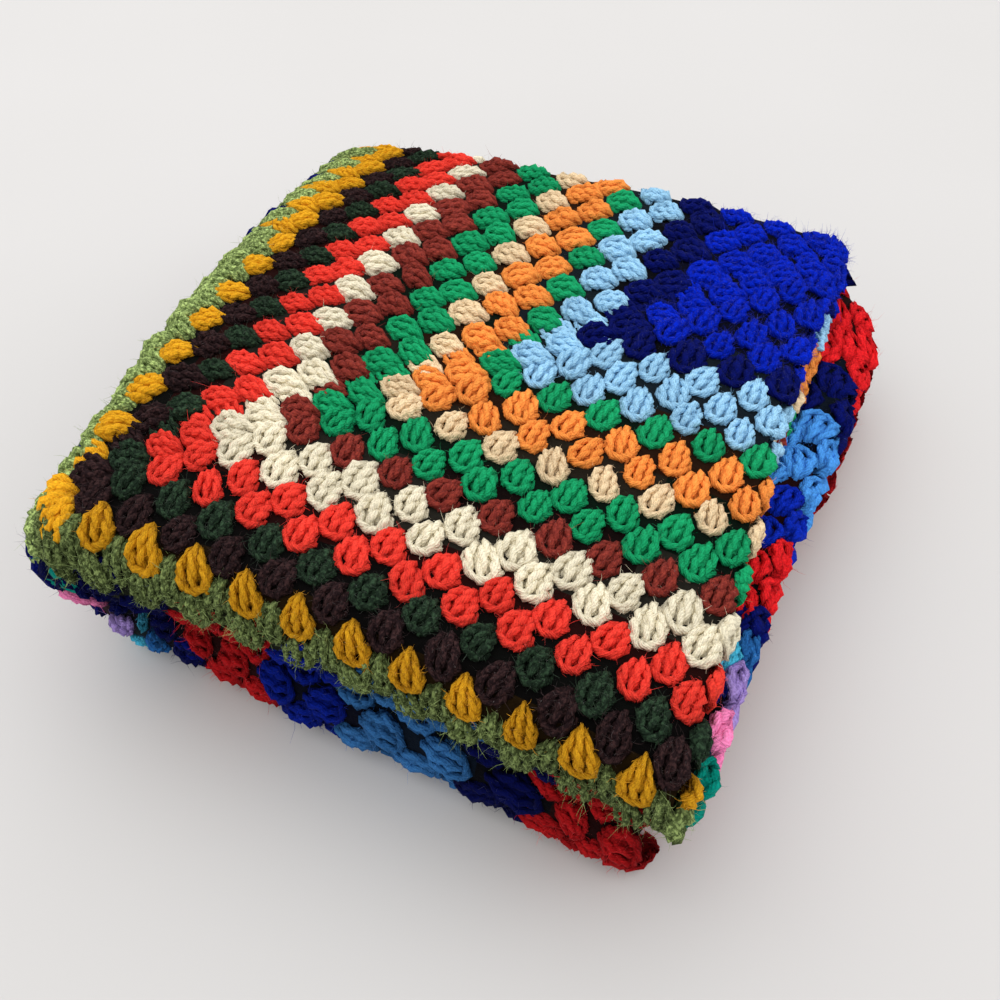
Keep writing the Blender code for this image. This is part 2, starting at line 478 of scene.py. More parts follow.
def plied_wool(name, color, fleck, flecks):
    """Yarn of many plies: UV runs once round the yarn and, in centimetres, along it. Its colour
    holds
    painted shade: darker in the ply grooves and low down on a cluster, lighter high up, and
    lighter or darker by the painted shade carried in the tone attribute."""
    shade = Shading(name)
    uv = shade.out(shade.node("ShaderNodeUVMap", {"uv_map": "yarn"}))
    parts = shade.node("ShaderNodeSeparateXYZ", {}, {"Vector": uv})
    around, along = shade.out(parts, 0), shade.out(parts, 1)
    tone_and_painted_shade, height, place = shade.attribute("tone_and_painted_shade"), shade.attribute("height"), shade.place()
    turns = around * PLIES + along * PLIES_PER_CM + shade.noise(place, DRIFT) * 1.6
    ply = (turns * (2 * math.pi)).sine() * 0.5 + 0.5
    grain, lint = shade.noise(place, GRAIN, 3.0), shade.noise(place, LINT)
    flecked = ((shade.noise(place, FLECK, 3.0) - 0.5) * 6.0 + flecks - 0.1).limited() * flecks
    # painted shade: darker in the grooves between the plies and low down on a cluster, mixed with
    # random grain
    shade_and_grain = ((1 - ply) * 0.24 + (1 - height) ** 2.2 * 0.95 + (0.5 - grain) * 1.1).limited()
    body = shade.mix(shade_and_grain, shade.mix(flecked, srgb(*color), srgb(*fleck)),
                     darker(srgb(*fleck), 0.35))
    blotch = shade.noise(place, BLOTCH, 1.0)
    # painted light and shade: lighter high up on a cluster and by the painted shade in the tone
    # attribute, with random blotches and lint
    light = 0.66 + 0.30 * height + 0.16 * tone_and_painted_shade + 0.2 * blotch + (lint - 0.5) * 0.6
    painted_light_and_tone = shade.out(shade.node("ShaderNodeCombineColor", {}, {0: light, 1: light, 2: light}))
    relief = ply * 0.5 + grain * 0.5 + lint * 0.25
    return shade.finish({"Base Color": shade.mix(1.0, body, painted_light_and_tone, "MULTIPLY"), "Roughness": 0.9,
                         "Normal": shade.bump(relief, 0.0006), "Specular IOR Level": 0.07})


def fluffy_wool(name, color, fleck):
    """The loose fibres that stand off a yarn."""
    shade = Shading(name)
    hair = shade.noise(shade.place(), LOOSE_HAIR, 1.0)
    return shade.finish({"Base Color": shade.mix(hair, srgb(*fleck), srgb(*color)),
                         "Roughness": 0.8, "Sheen Weight": 0.2, "Specular IOR Level": 0.2})


def shaded_wool(name, color, fleck):
    """The inside of a layer, seen down the small gaps between the clusters: its yarn colours
    darkened almost to black, painted shade for the gaps.
    """
    shade = Shading(name)
    hair = shade.noise(shade.place(), HAIR, 3.0)
    base = shade.mix(hair, darker(srgb(*fleck), 0.010), darker(srgb(*color), 0.020))
    return shade.finish({"Base Color": base, "Roughness": 0.95,
                         "Normal": shade.bump(hair, 0.001), "Specular IOR Level": 0.1})


def make_wools():
    plied, fluffy, shaded = [], [], []
    for name, (color, fleck, flecks, _) in YARNS.items():
        plied.append(plied_wool("yarn_" + name, color, fleck, flecks))
        fluffy.append(fluffy_wool("fluff_" + name, color, fleck))
        shaded.append(shaded_wool("painted_shade_inner_" + name, color, fleck))
    return plied, fluffy, shaded


# ---- meshes
def put(name, data):
    """An object in the scene."""
    thing = bpy.data.objects.new(name, data)
    bpy.context.scene.collection.objects.link(thing)
    return thing


def mesh_object(name, points, quads, materials, yarns, uvs=None, attributes=None):
    """A mesh from arrays of points and four-sided faces, with the yarn of each face."""
    mesh = bpy.data.meshes.new(name)

    def fill(parts, key, values, kind=np.float32):
        parts.foreach_set(key, np.ascontiguousarray(values, dtype=kind).ravel())

    mesh.vertices.add(len(points))
    fill(mesh.vertices, "co", points)
    mesh.loops.add(quads.size)
    fill(mesh.loops, "vertex_index", quads, np.int32)
    mesh.polygons.add(len(quads))
    fill(mesh.polygons, "loop_start", np.arange(len(quads)) * 4, np.int32)
    used = sorted(set(yarns))
    for yarn in used:
        mesh.materials.append(materials[yarn])
    fill(mesh.polygons, "material_index", np.searchsorted(used, yarns), np.int32)
    fill(mesh.polygons, "use_smooth", np.ones(len(quads)), bool)
    if uvs is not None:
        fill(mesh.uv_layers.new(name="yarn").data, "uv", uvs)
    for key, values in (attributes or {}).items():
        fill(mesh.attributes.new(key, "FLOAT", "POINT").data, "value", values)
    mesh.update(calc_edges=True)
    mesh.validate()
    return put(name, mesh)


def tube(around, along):
    """Faces between rings of points, and the UV of their corners: around has the two sides of
    each face of a ring, along has the place of each ring."""
    faces, uvs = [], []
    sides = len(around)
    for i in range(len(along) - 1):
        low, high = along[i], along[i + 1]
        for j, (a, b) in enumerate(around):
            k = (j + 1) % sides
            faces.append((i * sides + j, (i + 1) * sides + j, (i + 1) * sides + k, i * sides + k))
            uvs.append(((a, low), (a, high), (b, high), (b, low)))
    return np.array(faces), np.array(uvs)


def strand(line, radius, sides):
    """A round yarn along a line of points (across, along, up), thin at its ends."""
    way = unit(np.gradient(line, axis=0))
    side = np.cross(way, (0.0, 0.0, 1.0))
    side /= np.maximum(np.linalg.norm(side, axis=1)[:, None], 1e-6)
    over = np.cross(side, way)
    angle = (2 * math.pi * np.arange(sides) / sides)[None, :, None]
    ring = side[:, None] * np.cos(angle) + over[:, None] * np.sin(angle)
    radii = radius * np.ones(len(line))
    radii[[0, -1]] *= 0.55
    points = (line[:, None] + ring * radii[:, None, None]).reshape(-1, 3)
    travelled = np.concatenate([[0], np.cumsum(np.linalg.norm(np.diff(line, axis=0), axis=1))])
    return points, *tube([(j / sides, (j + 1) / sides) for j in range(sides)], travelled * 100)


def joined(parts):
    points, faces, uvs, start = [], [], [], 0
    for p, f, uv in parts:
        points.append(p)
        faces.append(f + start)
        uvs.append(uv)
        start += len(p)
    return np.concatenate(points), np.concatenate(faces), np.concatenate(uvs)


# along a stitch   how far the three lie apart   height of the middle one   of the outer two
STITCH = ((0.00, 0.12, -0.0044, -0.0048),
          (0.12, 0.36, 0.0004, -0.0004),
          (0.32, 0.80, 0.0028, 0.0017),
          (0.60, 1.04, 0.0025, 0.0021),
          (0.82, 0.98, 0.0010, 0.0014),
          (1.00, 0.70, -0.0010, -0.0004))
STRAY_ACROSS, STRAY_ALONG, ROUGHNESS = 0.00035, 0.0003, 0.00011  # how unevenly yarns lie
OUTER_SHORT, OUTER_START = 0.07, 0.02  # share by which the outer stitches are shorter
THICK_YARN, CHAIN_YARN, THICK_CHAIN = 1.7, 0.92, 1.3  # times YARN_RADIUS
CHAIN_REACH = (0.0070, 0.0084)  # half width and height of the arc of the chain
CHAIN_MIDDLE, CHAIN_BEND, CHAIN_LEAN = 0.0010, 1.75, 0.12
CHAIN_UP, CHAIN_FALL, CHAIN_TWIST = 0.0013, 0.0007, 0.0008


def core(rings, segments):
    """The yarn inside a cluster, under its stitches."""
    at, spread, height, _ = np.array(STITCH).T
    angle = 2 * math.pi * np.arange(segments) / segments
    points = []
    for share in np.arange(rings + 1) / rings:
        along = 0.46 * CLUSTER_LENGTH * share * np.sin(angle)
        t = along / CLUSTER_LENGTH + 0.5
        across = (STITCH_APART * np.interp(t, at, spread) + 0.0012) * share * np.cos(angle)
        up = (np.interp(t, at, height) + 0.0002) * (1 - 0.3 * share ** 2) - 0.0022 * share ** 3
        points.append(np.stack([across, along, up], 1))
    return np.concatenate(points), *tube([(0, 0.1)] * segments, 0.3 * np.arange(rings + 1))


def wander(count, reach):
    """A slow random drift along a line of points."""
    at = np.linspace(0, 1, count)
    return np.interp(at, np.linspace(0, 1, 4), rng.normal(0, reach, 4))


def cluster(yarns, stations, sides, chain_stations, chain_sides):
    """Three tall stitches out of one space, and the chain along their far ends."""
    at, spread, middle, outer = np.array(STITCH).T
    parts = [core(3, 8)]
    t = np.linspace(0, 1, stations)
    twist = TWIST_RADIUS * (0.45 + 0.55 * smooth(t / 0.35))
    for j in (-1, 0, 1):
        across = j * STITCH_APART * np.interp(t, at, spread) + wander(stations, STRAY_ACROSS)
        along = (t - 0.5) * CLUSTER_LENGTH * (1 - OUTER_SHORT * abs(j))
        along = along + wander(stations, STRAY_ALONG)
        along = along + OUTER_START * abs(j) * (1 - t) * CLUSTER_LENGTH
        up = np.interp(t, at, outer if j else middle) + wander(stations, STRAY_ALONG)
        turns, start = rng.uniform(1.5, 2.1), rng.uniform(0, 1)
        if yarns == 1:
            line = np.stack([across, along, up], 1)
            parts.append(strand(line, YARN_RADIUS * THICK_YARN, sides))
            continue
        for k in range(yarns):
            angle = 2 * math.pi * (k / yarns + turns * t + start)
            line = np.stack([across + twist * np.cos(angle), along,
                             up + twist * np.sin(angle)], 1)
            parts.append(strand(line, YARN_RADIUS * (1 + wander(stations, 0.06)), sides))
    bend = np.linspace(-CHAIN_BEND, CHAIN_BEND, chain_stations)
    lean = rng.normal(0, CHAIN_LEAN)
    thick, twist = (CHAIN_YARN, CHAIN_TWIST) if yarns > 1 else (THICK_CHAIN, 0)
    for k in range(yarns):
        turn = 2 * math.pi * (0.5 * k + 0.7 * bend)
        wide, long = (reach + twist * np.cos(turn) for reach in CHAIN_REACH)
        line = np.stack([wide * np.sin(bend + lean), CHAIN_MIDDLE + long * np.cos(bend + lean),
                         CHAIN_UP - CHAIN_FALL * np.abs(bend) + twist * np.sin(turn)], 1)
        parts.append(strand(line, YARN_RADIUS * thick, chain_sides))
    return joined(parts)


def kinds_of(count, *sizes):
    """A few clusters of one make, each a little different."""
    shapes = [cluster(*sizes) for _ in range(count)]
    points = np.stack([shape[0] for shape in shapes])
    return points + rng.normal(0, ROUGHNESS, points.shape), shapes[0][1], shapes[0][2]


class Clusters:
    """Clusters of one piece: where each one lies, which way it runs, its yarn and its form. They
    sink into the cloth and widen to their far end by flare; shade paints them darker as painted
    shade, and below 0 paints light on them."""

    def __init__(self, name, shape, surface):
        self.name = name
        self.shape = shape
        self.surface = surface
        self.rows = []

    def add(self, u, v, way, yarn, turn=0.0, size=1.0, sink=0.0, wide=1.0, thin=1.0, flare=0.0,
            shade=0.0):
        across, out = way
        self.rows.append((u, v, *across, *out, yarn, turn, size, sink, wide, thin, flare, shade))

    def build(self, materials):
        count = len(self.rows)
        (u, v, across_u, across_v, out_u, out_v, yarn, turn, size, sink, wide, thin, flare,
         shade) = (column[:, None] for column in np.array(self.rows).T)
        kinds, faces, uvs = self.shape
        points = kinds[rng.integers(0, len(kinds), count)]
        turn = turn + rng.normal(0, math.radians(6), (count, 1))
        size = size * rng.uniform(0.94, 1.06, (count, 1))
        wide = wide * rng.uniform(0.95, 1.06, (count, 1)) * rng.choice((-1, 1), (count, 1))
        tall = thin * rng.uniform(0.88, 1.14, (count, 1))
        lean = rng.normal(0, 0.08, (count, 1))
        s, t, h = (points[:, :, i] for i in range(3))
        s = s * (size * wide) * (1 + flare * t / CLUSTER_LENGTH) + lean * t
        t = t * size
        s, t = s * np.cos(turn) - t * np.sin(turn), s * np.sin(turn) + t * np.cos(turn)
        shift = rng.normal(0, 0.0004, (count, 2))
        placed = self.surface(u + shift[:, :1] + s * across_u + t * out_u,
                              v + shift[:, 1:] + s * across_v + t * out_v, h * tall - sink)
        mirrored = (wide < 0)[:, :, None]
        quads = np.where(mirrored, faces[:, ::-1], faces)
        corner_uvs = np.where(mirrored[..., None], uvs[:, ::-1], uvs)
        n = points.shape[1]
        quads = (quads + (np.arange(count) * n)[:, None, None]).reshape(-1, 4)
        # painted shade: each cluster's random tone is lowered by its shade, or raised as painted
        # light where shade is below 0; its height paints it darker low down
        tone_and_painted_shade = np.repeat(rng.uniform(0, 1, (count, 1)) - shade, n)
        self.level = np.clip((h + 0.0010) / 0.0056, 0, 1).ravel()
        self.points = placed.reshape(-1, 3)
        self.yarns = np.repeat(yarn.astype(int), n)
        piece = mesh_object(self.name, self.points, quads, materials,
                            np.repeat(yarn.astype(int), len(faces)), corner_uvs,
                            {"tone_and_painted_shade": tone_and_painted_shade, "height": self.level})
        normals = np.zeros(self.points.size, dtype=np.float32)
        piece.data.vertex_normals.foreach_get("vector", normals)
        self.normals = normals.reshape(-1, 3)
        return piece


def on_sheet(u, v, h):
    p, s = pulled(u, v)
    return lay(p, s, h)


# which way clusters lie: across and outwards, in the two directions of their surface
TO_FRONT = ((1.0, 0.0), (0.0, 1.0))
TO_LEFT = ((0.0, -1.0), (1.0, 0.0))
TO_BACK = ((-1.0, 0.0), (0.0, -1.0))
TO_RIGHT = ((0.0, 1.0), (-1.0, 0.0))
OUT_OF_EDGE = ((0.0, -1.0), (-1.0, 0.0))
ROUND_BACK_FOLD = ((1.0, 0.0), (0.0, -1.0))
TO_THE_BACK = ((-1.0, 0.0), (0.0, 1.0))

CORNER_NUDGE = 0.0010  # the cluster at a corner sits in by this much
FRONT_TURN_AT_CORNER, LEFT_TURN_AT_CORNER = -0.30, 0.30
FRONT_LEAN = -0.15  # stitches lean towards the front left corner
LIP = 0.0065  # more of the fold's round shows this far past its clusters
# the shade in these looks is painted shade, which darkens the clusters on the front fold and
# beside it
PETAL = dict(size=0.86, wide=0.98, flare=0.8, sink=-0.0012, shade=1.8, turn=0.1)
RIGHT_PETAL = dict(PETAL, size=0.62)
PETAL_BACK, RIGHT_PETAL_BACK = 0.0010, 0.0045
FOLD_CLUSTER = dict(sink=0.0006, wide=0.95, shade=4.0)  # painted shade: the fold's clusters are coloured darker
FOLD_LIP = dict(size=0.80, sink=-0.0006, wide=1.15, shade=4.0, turn=0.2)
CORNER_LUMP = dict(sink=-0.0006, wide=1.1, shade=2.0, turn=0.40)
CORNER_LUMPS = ((-0.25, 0.4), (0.0, 1.0), (0.30, 0.7), (0.50, 0.2))  # aside and down
BELOW_FOLD = dict(sink=0.0012, shade=4.0)
BELOW_FOLD_BACK, BELOW_FOLD_FROM, BELOW_FOLD_SEEN = 0.0025, 0.018, 0.010
LEFT_LIP = dict(wide=1.15, turn=0.40)
WEDGE = 0.0025  # the last round before the left fold lies this far out
BELOW_SINK, BELOW_SIZE = {27: 0.0012}, {27: 1.4, 28: 1.2}
OPEN_EDGE = dict(size=0.62, wide=2.0, thin=0.8, flare=1.0)
EDGE_AT, FOLD_AT = 0.0068, 0.006  # from an open edge, and each way from the middle of a fold
ALONG_FOLD = 26  # clusters along a hidden fold
# round   how far its left clusters lean to the front   their length   their width
LEFT_PULL = ((9, 0.00, 0.98, 1.08),
             (17, 0.05, 0.99, 1.05),
             (20, 0.20, 1.05, 0.94),
             (22, 0.35, 1.12, 0.80),
             (25, 0.62, 1.20, 0.72))
# round   where it lies along the lower right side
RIGHT_SIDE = ((27, -0.276), (28.5, -0.264), (29.5, -0.248), (31.5, -0.232), (33.5, -0.214),
              (35.5, -0.206), (39.5, -0.168), (42.5, -0.138), (46.5, -0.086), (48.5, -0.043),
              (52, 0.013))


def places_along(n, first):
    """Cluster positions along round n, from the one nearest first to its corner."""
    last = (n - 1) / 2
    return [last - i for i in range(math.floor(last - first), -1, -1)]


def row_size(n):
    """Clusters of thicker yarn are larger."""
    return 1.10 if n in (8, 19, 20) else 0.94 if n < 8 else 1.0


def row_width(n):
    return 1.06 if n <= 8 else 0.95


def yarn_below(u, v):
    """The yarn of the lower bundle at a place of the front fold: it swells up in front of it."""
    rounds = np.arange(TOP_ROUNDS + 1, ALL_ROUNDS + 1)
    along = pulled((rounds - 0.5) * ROUND, v)[0]
    below = 2 * ACROSS + HALF_ROUND_LEFT - pulled(u, v)[0] - BELOW_FOLD_SEEN
    n = round(float(np.interp(below, along, rounds)))
    # rounds up to 35 all take round 28's navy: partly the real navy rounds, partly painted shade
    # in the crevice under the fold
    return yarn_of(28 if n < 36 else n)


def drawn_left(n):
    """How far round n is drawn to the left below the front left corner."""
    return LOWER_LEFT * (1 - eased(n, *LOWER_LEFT_END))


def front_rounds(group, first, last):
    for n in range(first, last + 1):
        for k in places_along(n, -1.0):
            from_corner = (n - 1) / 2 - k
            at_corner = from_corner < 0.5
            u, v = k * APART, (n - 0.5) * ROUND
            if u > TOP_ROUNDS * ROUND * 1.02:
                continue
            turn = FRONT_TURN_AT_CORNER if at_corner else FRONT_LEAN if n > 8 else 0.0
            if at_corner:
                u -= CORNER_NUDGE
            if n >= TOP_ROUNDS:
                if from_corner < 1:
                    u -= MOSS_CORNER_IN
                v = v - FOLD_BACK - CORNER_BACK * min(u / UNIT, 1) ** 4
            yarn = yarn_of(n, "front", from_corner)
            if n > TOP_ROUNDS:
                if u >= BELOW_FOLD_FROM:
                    group.add(u, v - BELOW_FOLD_BACK, TO_RIGHT, yarn_below(u, v), **BELOW_FOLD)
            elif n == TOP_ROUNDS:
                group.add(u, v, TO_FRONT, yarn, turn=turn, **FOLD_CLUSTER)
                if k < 0:
                    for aside, down in CORNER_LUMPS:
                        group.add(u + aside * APART, v + down * LIP, TO_FRONT, yarn, **CORNER_LUMP)
                if not at_corner:
                    group.add(u + APART / 2, v + LIP, TO_FRONT, yarn, **FOLD_LIP)
            elif n < TOP_ROUNDS - 1 or at_corner:
                group.add(u, v, TO_FRONT, yarn, turn=turn, size=row_size(n), wide=row_width(n))
            elif k < 0.5:
                group.add(u, v - RIGHT_PETAL_BACK, TO_FRONT, yarn, **RIGHT_PETAL)
            else:
                group.add(u, v - PETAL_BACK, TO_FRONT, yarn, **PETAL)


def left_rounds(group, first, last):
    at, *pulls = np.array(LEFT_PULL).T
    for n in range(first, last + 1):
        fade = 1.0 if n <= TOP_ROUNDS else 0.45 if n == TOP_ROUNDS + 1 else 0.0
        on_top = 8 < n < TOP_ROUNDS
        for k in places_along(n, -1.75):
            from_corner = (n - 1) / 2 - k
            u, v = (n - 0.5) * ROUND, k * APART
            if v > TOP_ROUNDS * ROUND + 0.004:
                continue
            turn, sink, longer, narrower = 0.0, 0.0, 1.0, 1.0
            if n >= TOP_ROUNDS and from_corner < 1.2:
                u -= MOSS_CORNER_IN
            if from_corner < 0.5:
                turn, v = LEFT_TURN_AT_CORNER, v - CORNER_NUDGE
            elif from_corner < 1.5:
                u, v = u + 0.6 * PLEAT_ACROSS * fade, v + 0.3 * PLEAT_ALONG * fade
                sink = PLEAT_SINK * fade
            else:
                u, v = u + PLEAT_ACROSS * fade, v + PLEAT_ALONG * fade
            if n == TOP_ROUNDS - 1 and from_corner > 0.5:
                u += WEDGE
            if n > TOP_ROUNDS:
                group.add(u - drawn_left(n) * eased(v, 0.25, 0.05), v, TO_LEFT,
                          yarn_of(n, "left", min(from_corner, 8)), turn=turn,
                          sink=BELOW_SINK.get(n, 0.0), size=BELOW_SIZE.get(n, 1.05))
                continue
            if on_top and from_corner > 1:
                turn, longer, narrower = (float(np.interp(n, at, pull)) for pull in pulls)
            group.add(u, v, TO_LEFT, yarn_of(n, "left", from_corner), turn=turn, sink=sink,
                      size=row_size(n) * longer, wide=row_width(n) * narrower,
                      thin=1.15 if on_top else 1.0)
            if n == TOP_ROUNDS and from_corner > 0.9:
                group.add(u + LIP, v + APART / 2, TO_LEFT, yarn_of(n), **LEFT_LIP)


def right_side_rounds(group, shift):
    at, where = np.array(RIGHT_SIDE).T
    for n in range(TOP_ROUNDS + 1, ALL_ROUNDS + 1):
        y = float(np.interp(n, at, where)) + shift
        gap = float(np.interp(n + 1, at, where) - np.interp(n - 1, at, where)) / (2 * ROUND)
        for k in (-1, 0, 1):
            q = (k + 0.5 * (n % 2 == 0)) * APART
            if -0.016 < q < 0.040:
                # shade below 0 paints light on the right side's clusters
                group.add(q, y, TO_THE_BACK, yarn_of(n), shade=-0.8,
                          size=0.75 if n == 27 else min(max(gap, 0.95), 1.35))


# ---- the sheet itself
SHEET_THICKNESS = 0.0012
GROUND_IN = (0.0010, 0.0040, 0.0055, 0.0030)  # layers 1 and 2, 3 and 4, 5 to 8, and below, end
RUN = np.concatenate([np.linspace(-DEEP, -0.030, 15), [-0.008]])  # stations along a layer


def sheet_path():
    """The middle of the sheet through one bundle, as (y, d), with its layer."""
    path = []
    for index, (layer, way) in enumerate(SHEET_ORDER):
        d = middle_of(layer)
        to_front = way == "front"
        cut = index in (0, len(SHEET_ORDER) - 1)
        back = BACK - BACK_SHORT[layer] - (0.004 if cut else LAYER / 2)
        stops = [*RUN, back]
        path += [(y, d, layer) for y in (stops[::-1] if to_front else stops)]
        if index == len(SHEET_ORDER) - 1:
            break
        after = SHEET_ORDER[index + 1][0]
        end = middle_of(after)
        radius = abs(end - d) / 2
        steps = 6 + round(2 * radius / CLOTH) if to_front else 6
        centre = -DEEP if to_front else back
        square = FRONT_SQUARE * radius / (BUNDLE * LAYER / 2) if to_front else 0.0
        for i in range(1, steps):
            angle = math.pi * (i / steps - 0.5) * (1 if end > d else -1)
            out = radius * float(squared(math.cos(angle), square)) * (-1 if to_front else 1)
            up = radius * float(squared(math.sin(angle), square))
            path.append((centre + out, (d + end) / 2 + up, layer if i < steps / 2 else after))
    return np.array(path)


def folded_sheet(materials):
    """The crocheted ground: one thin closed sheet through all sixteen layers."""
    path = sheet_path()
    y, d, layer = path.T
    way = unit(np.gradient(path[:, :2], axis=0))
    normal = np.stack([-way[:, 1], way[:, 0]], 1)
    flats = np.linspace(0, 1, 15)
    angles = np.linspace(0, math.pi, 20)[1:-1]
    stations = [("upper", t) for t in flats] + [("round", a) for a in angles]
    stations += [("lower", t) for t in flats[::-1]]
    rows, rounds = [], []
    half = SHEET_THICKNESS / 2
    for face in (1, -1):
        fy, fd = y + face * half * normal[:, 0], d + face * half * normal[:, 1]
        grid = []
        for kind, t in stations:
            if kind == "round":
                square = LEFT_SQUARE * fd / HALF_STACK
                x = -ACROSS - fd * squared(math.sin(t), square)
                z = HALF_STACK + fd * squared(math.cos(t), square)
            else:
                if kind == "lower":
                    end = right_end(fy, True) - edge_in(fy, layer) - GROUND_IN[3]
                else:
                    end = np.where(layer > 2, -NEXT_FOLD_IN - drawn_in(fy) - GROUND_IN[1],
                                   -top_fold_in(-fy) - GROUND_IN[0])
                    end = np.where(layer > 4, right_end(fy, False) - tucked(fy) - GROUND_IN[2],
                                   end)
                x = end + (-ACROSS - end) * t
                z = HALF_STACK + fd * (1 if kind == "upper" else -1)
            grid.append(settle(x, fy, z))
            if face == 1:
                rounds.append(rounds_at(kind, t, x, fy, layer))
        rows.append(np.array(grid))
    return close_sheet(rows, np.array(rounds), materials)


def rounds_at(kind, t, x, y, layer):
    """Which round lies at each point of the ground."""
    p = -x + 0 * y
    if kind == "round":
        p = ACROSS + HALF_ROUND_LEFT * t / math.pi + 0 * y
    elif kind == "lower":
        p = ACROSS + HALF_ROUND_LEFT + ACROSS + x
    s = -y
    u, v = p / 0.9, s
    for _ in range(12):
        tried_p, tried_s = pulled(u, v)
        u, v = u + 0.7 * (p - tried_p), v + 0.7 * (s - tried_s)
    inner = np.maximum(np.abs(u), np.abs(v)) / ROUND + 0.5
    outer = np.maximum(TOP_ROUNDS + 1 + 25 * (y + DEEP) / (DEEP + BACK), np.abs(u) / ROUND + 0.5)
    return np.clip(np.where(layer <= 4, inner, outer), 1, ALL_ROUNDS)


def close_sheet(faces, rounds, materials):
    """Joins the two faces of the sheet all round its edges."""
    first, second = faces
    stations, steps = first.shape[:2]
    points = np.concatenate([first.reshape(-1, 3), second.reshape(-1, 3)])
    quads, yarns = [], []

    def face(*corners, yarn=SCARLET):
        quads.append([s * steps + j + side * stations * steps for s, j, side in corners])
        yarns.append(yarn)

    for s in range(stations - 1):
        for j in range(steps - 1):
            yarn = yarn_of(round(float(rounds[s, j])))
            face((s, j, 0), (s, j + 1, 0), (s + 1, j + 1, 0), (s + 1, j, 0), yarn=yarn)
            face((s, j, 1), (s + 1, j, 1), (s + 1, j + 1, 1), (s, j + 1, 1), yarn=yarn)
        for j, a, b in ((0, 1, 0), (steps - 1, 0, 1)):
            face((s, j, a), (s, j, b), (s + 1, j, b), (s + 1, j, a))
    for s, a, b in ((0, 0, 1), (stations - 1, 1, 0)):
        for j in range(steps - 1):
            face((s, j, a), (s, j, b), (s, j + 1, b), (s, j + 1, a))
    return mesh_object("blanket_sheet", points, np.array(quads), materials, yarns)


# ---- loose fibres
LONGEST = 0.013
TAPER = (0.5, 0.4, 0.12)  # half widths along a fibre, as shares of its width


def fluff(name, groups, materials, count, length=0.0025, width=0.00015):
    """Loose fibres that stand off the yarn, as thin ribbons."""
    points, normals, yarns, level = (np.concatenate([getattr(group, what) for group in groups])
                                     for what in ("points", "normals", "yarns", "level"))
    hairiness = np.array([look[3] for look in YARNS.values()])
    weight = hairiness[yarns] * (0.1 + level) * (normals[:, 2] > -0.6)
    chosen = rng.choice(len(points), count, p=weight / weight.sum())
    root, normal, yarn = points[chosen], normals[chosen], yarns[chosen]
    reach = np.minimum(length * rng.lognormal(0, 0.45, count) * hairiness[yarn] ** 0.4, LONGEST)
    way = normal * rng.uniform(0.1, 0.8, (count, 1)) + rng.normal(0, 0.6, (count, 3))
    side = unit(np.cross(way, rng.normal(0, 1, (count, 3))))
    line, rows = root - normal * 0.0001, []
    for share in TAPER:
        half = side * width * share
        rows += [line + half, line - half]
        way = unit(way)
        line = line + way * reach[:, None] / 2
        way = way + rng.normal(0, 0.45, (count, 3))
    cloud = np.maximum(np.stack(rows, 1), (-9, -9, FLOOR_CLEAR))
    ribbon = np.array(((0, 1, 3, 2), (2, 3, 5, 4)))
    quads = (np.arange(count)[:, None, None] * 6 + ribbon[None]).reshape(-1, 4)
    return mesh_object(name, cloud.reshape(-1, 3), quads, materials, np.repeat(yarn, 2))


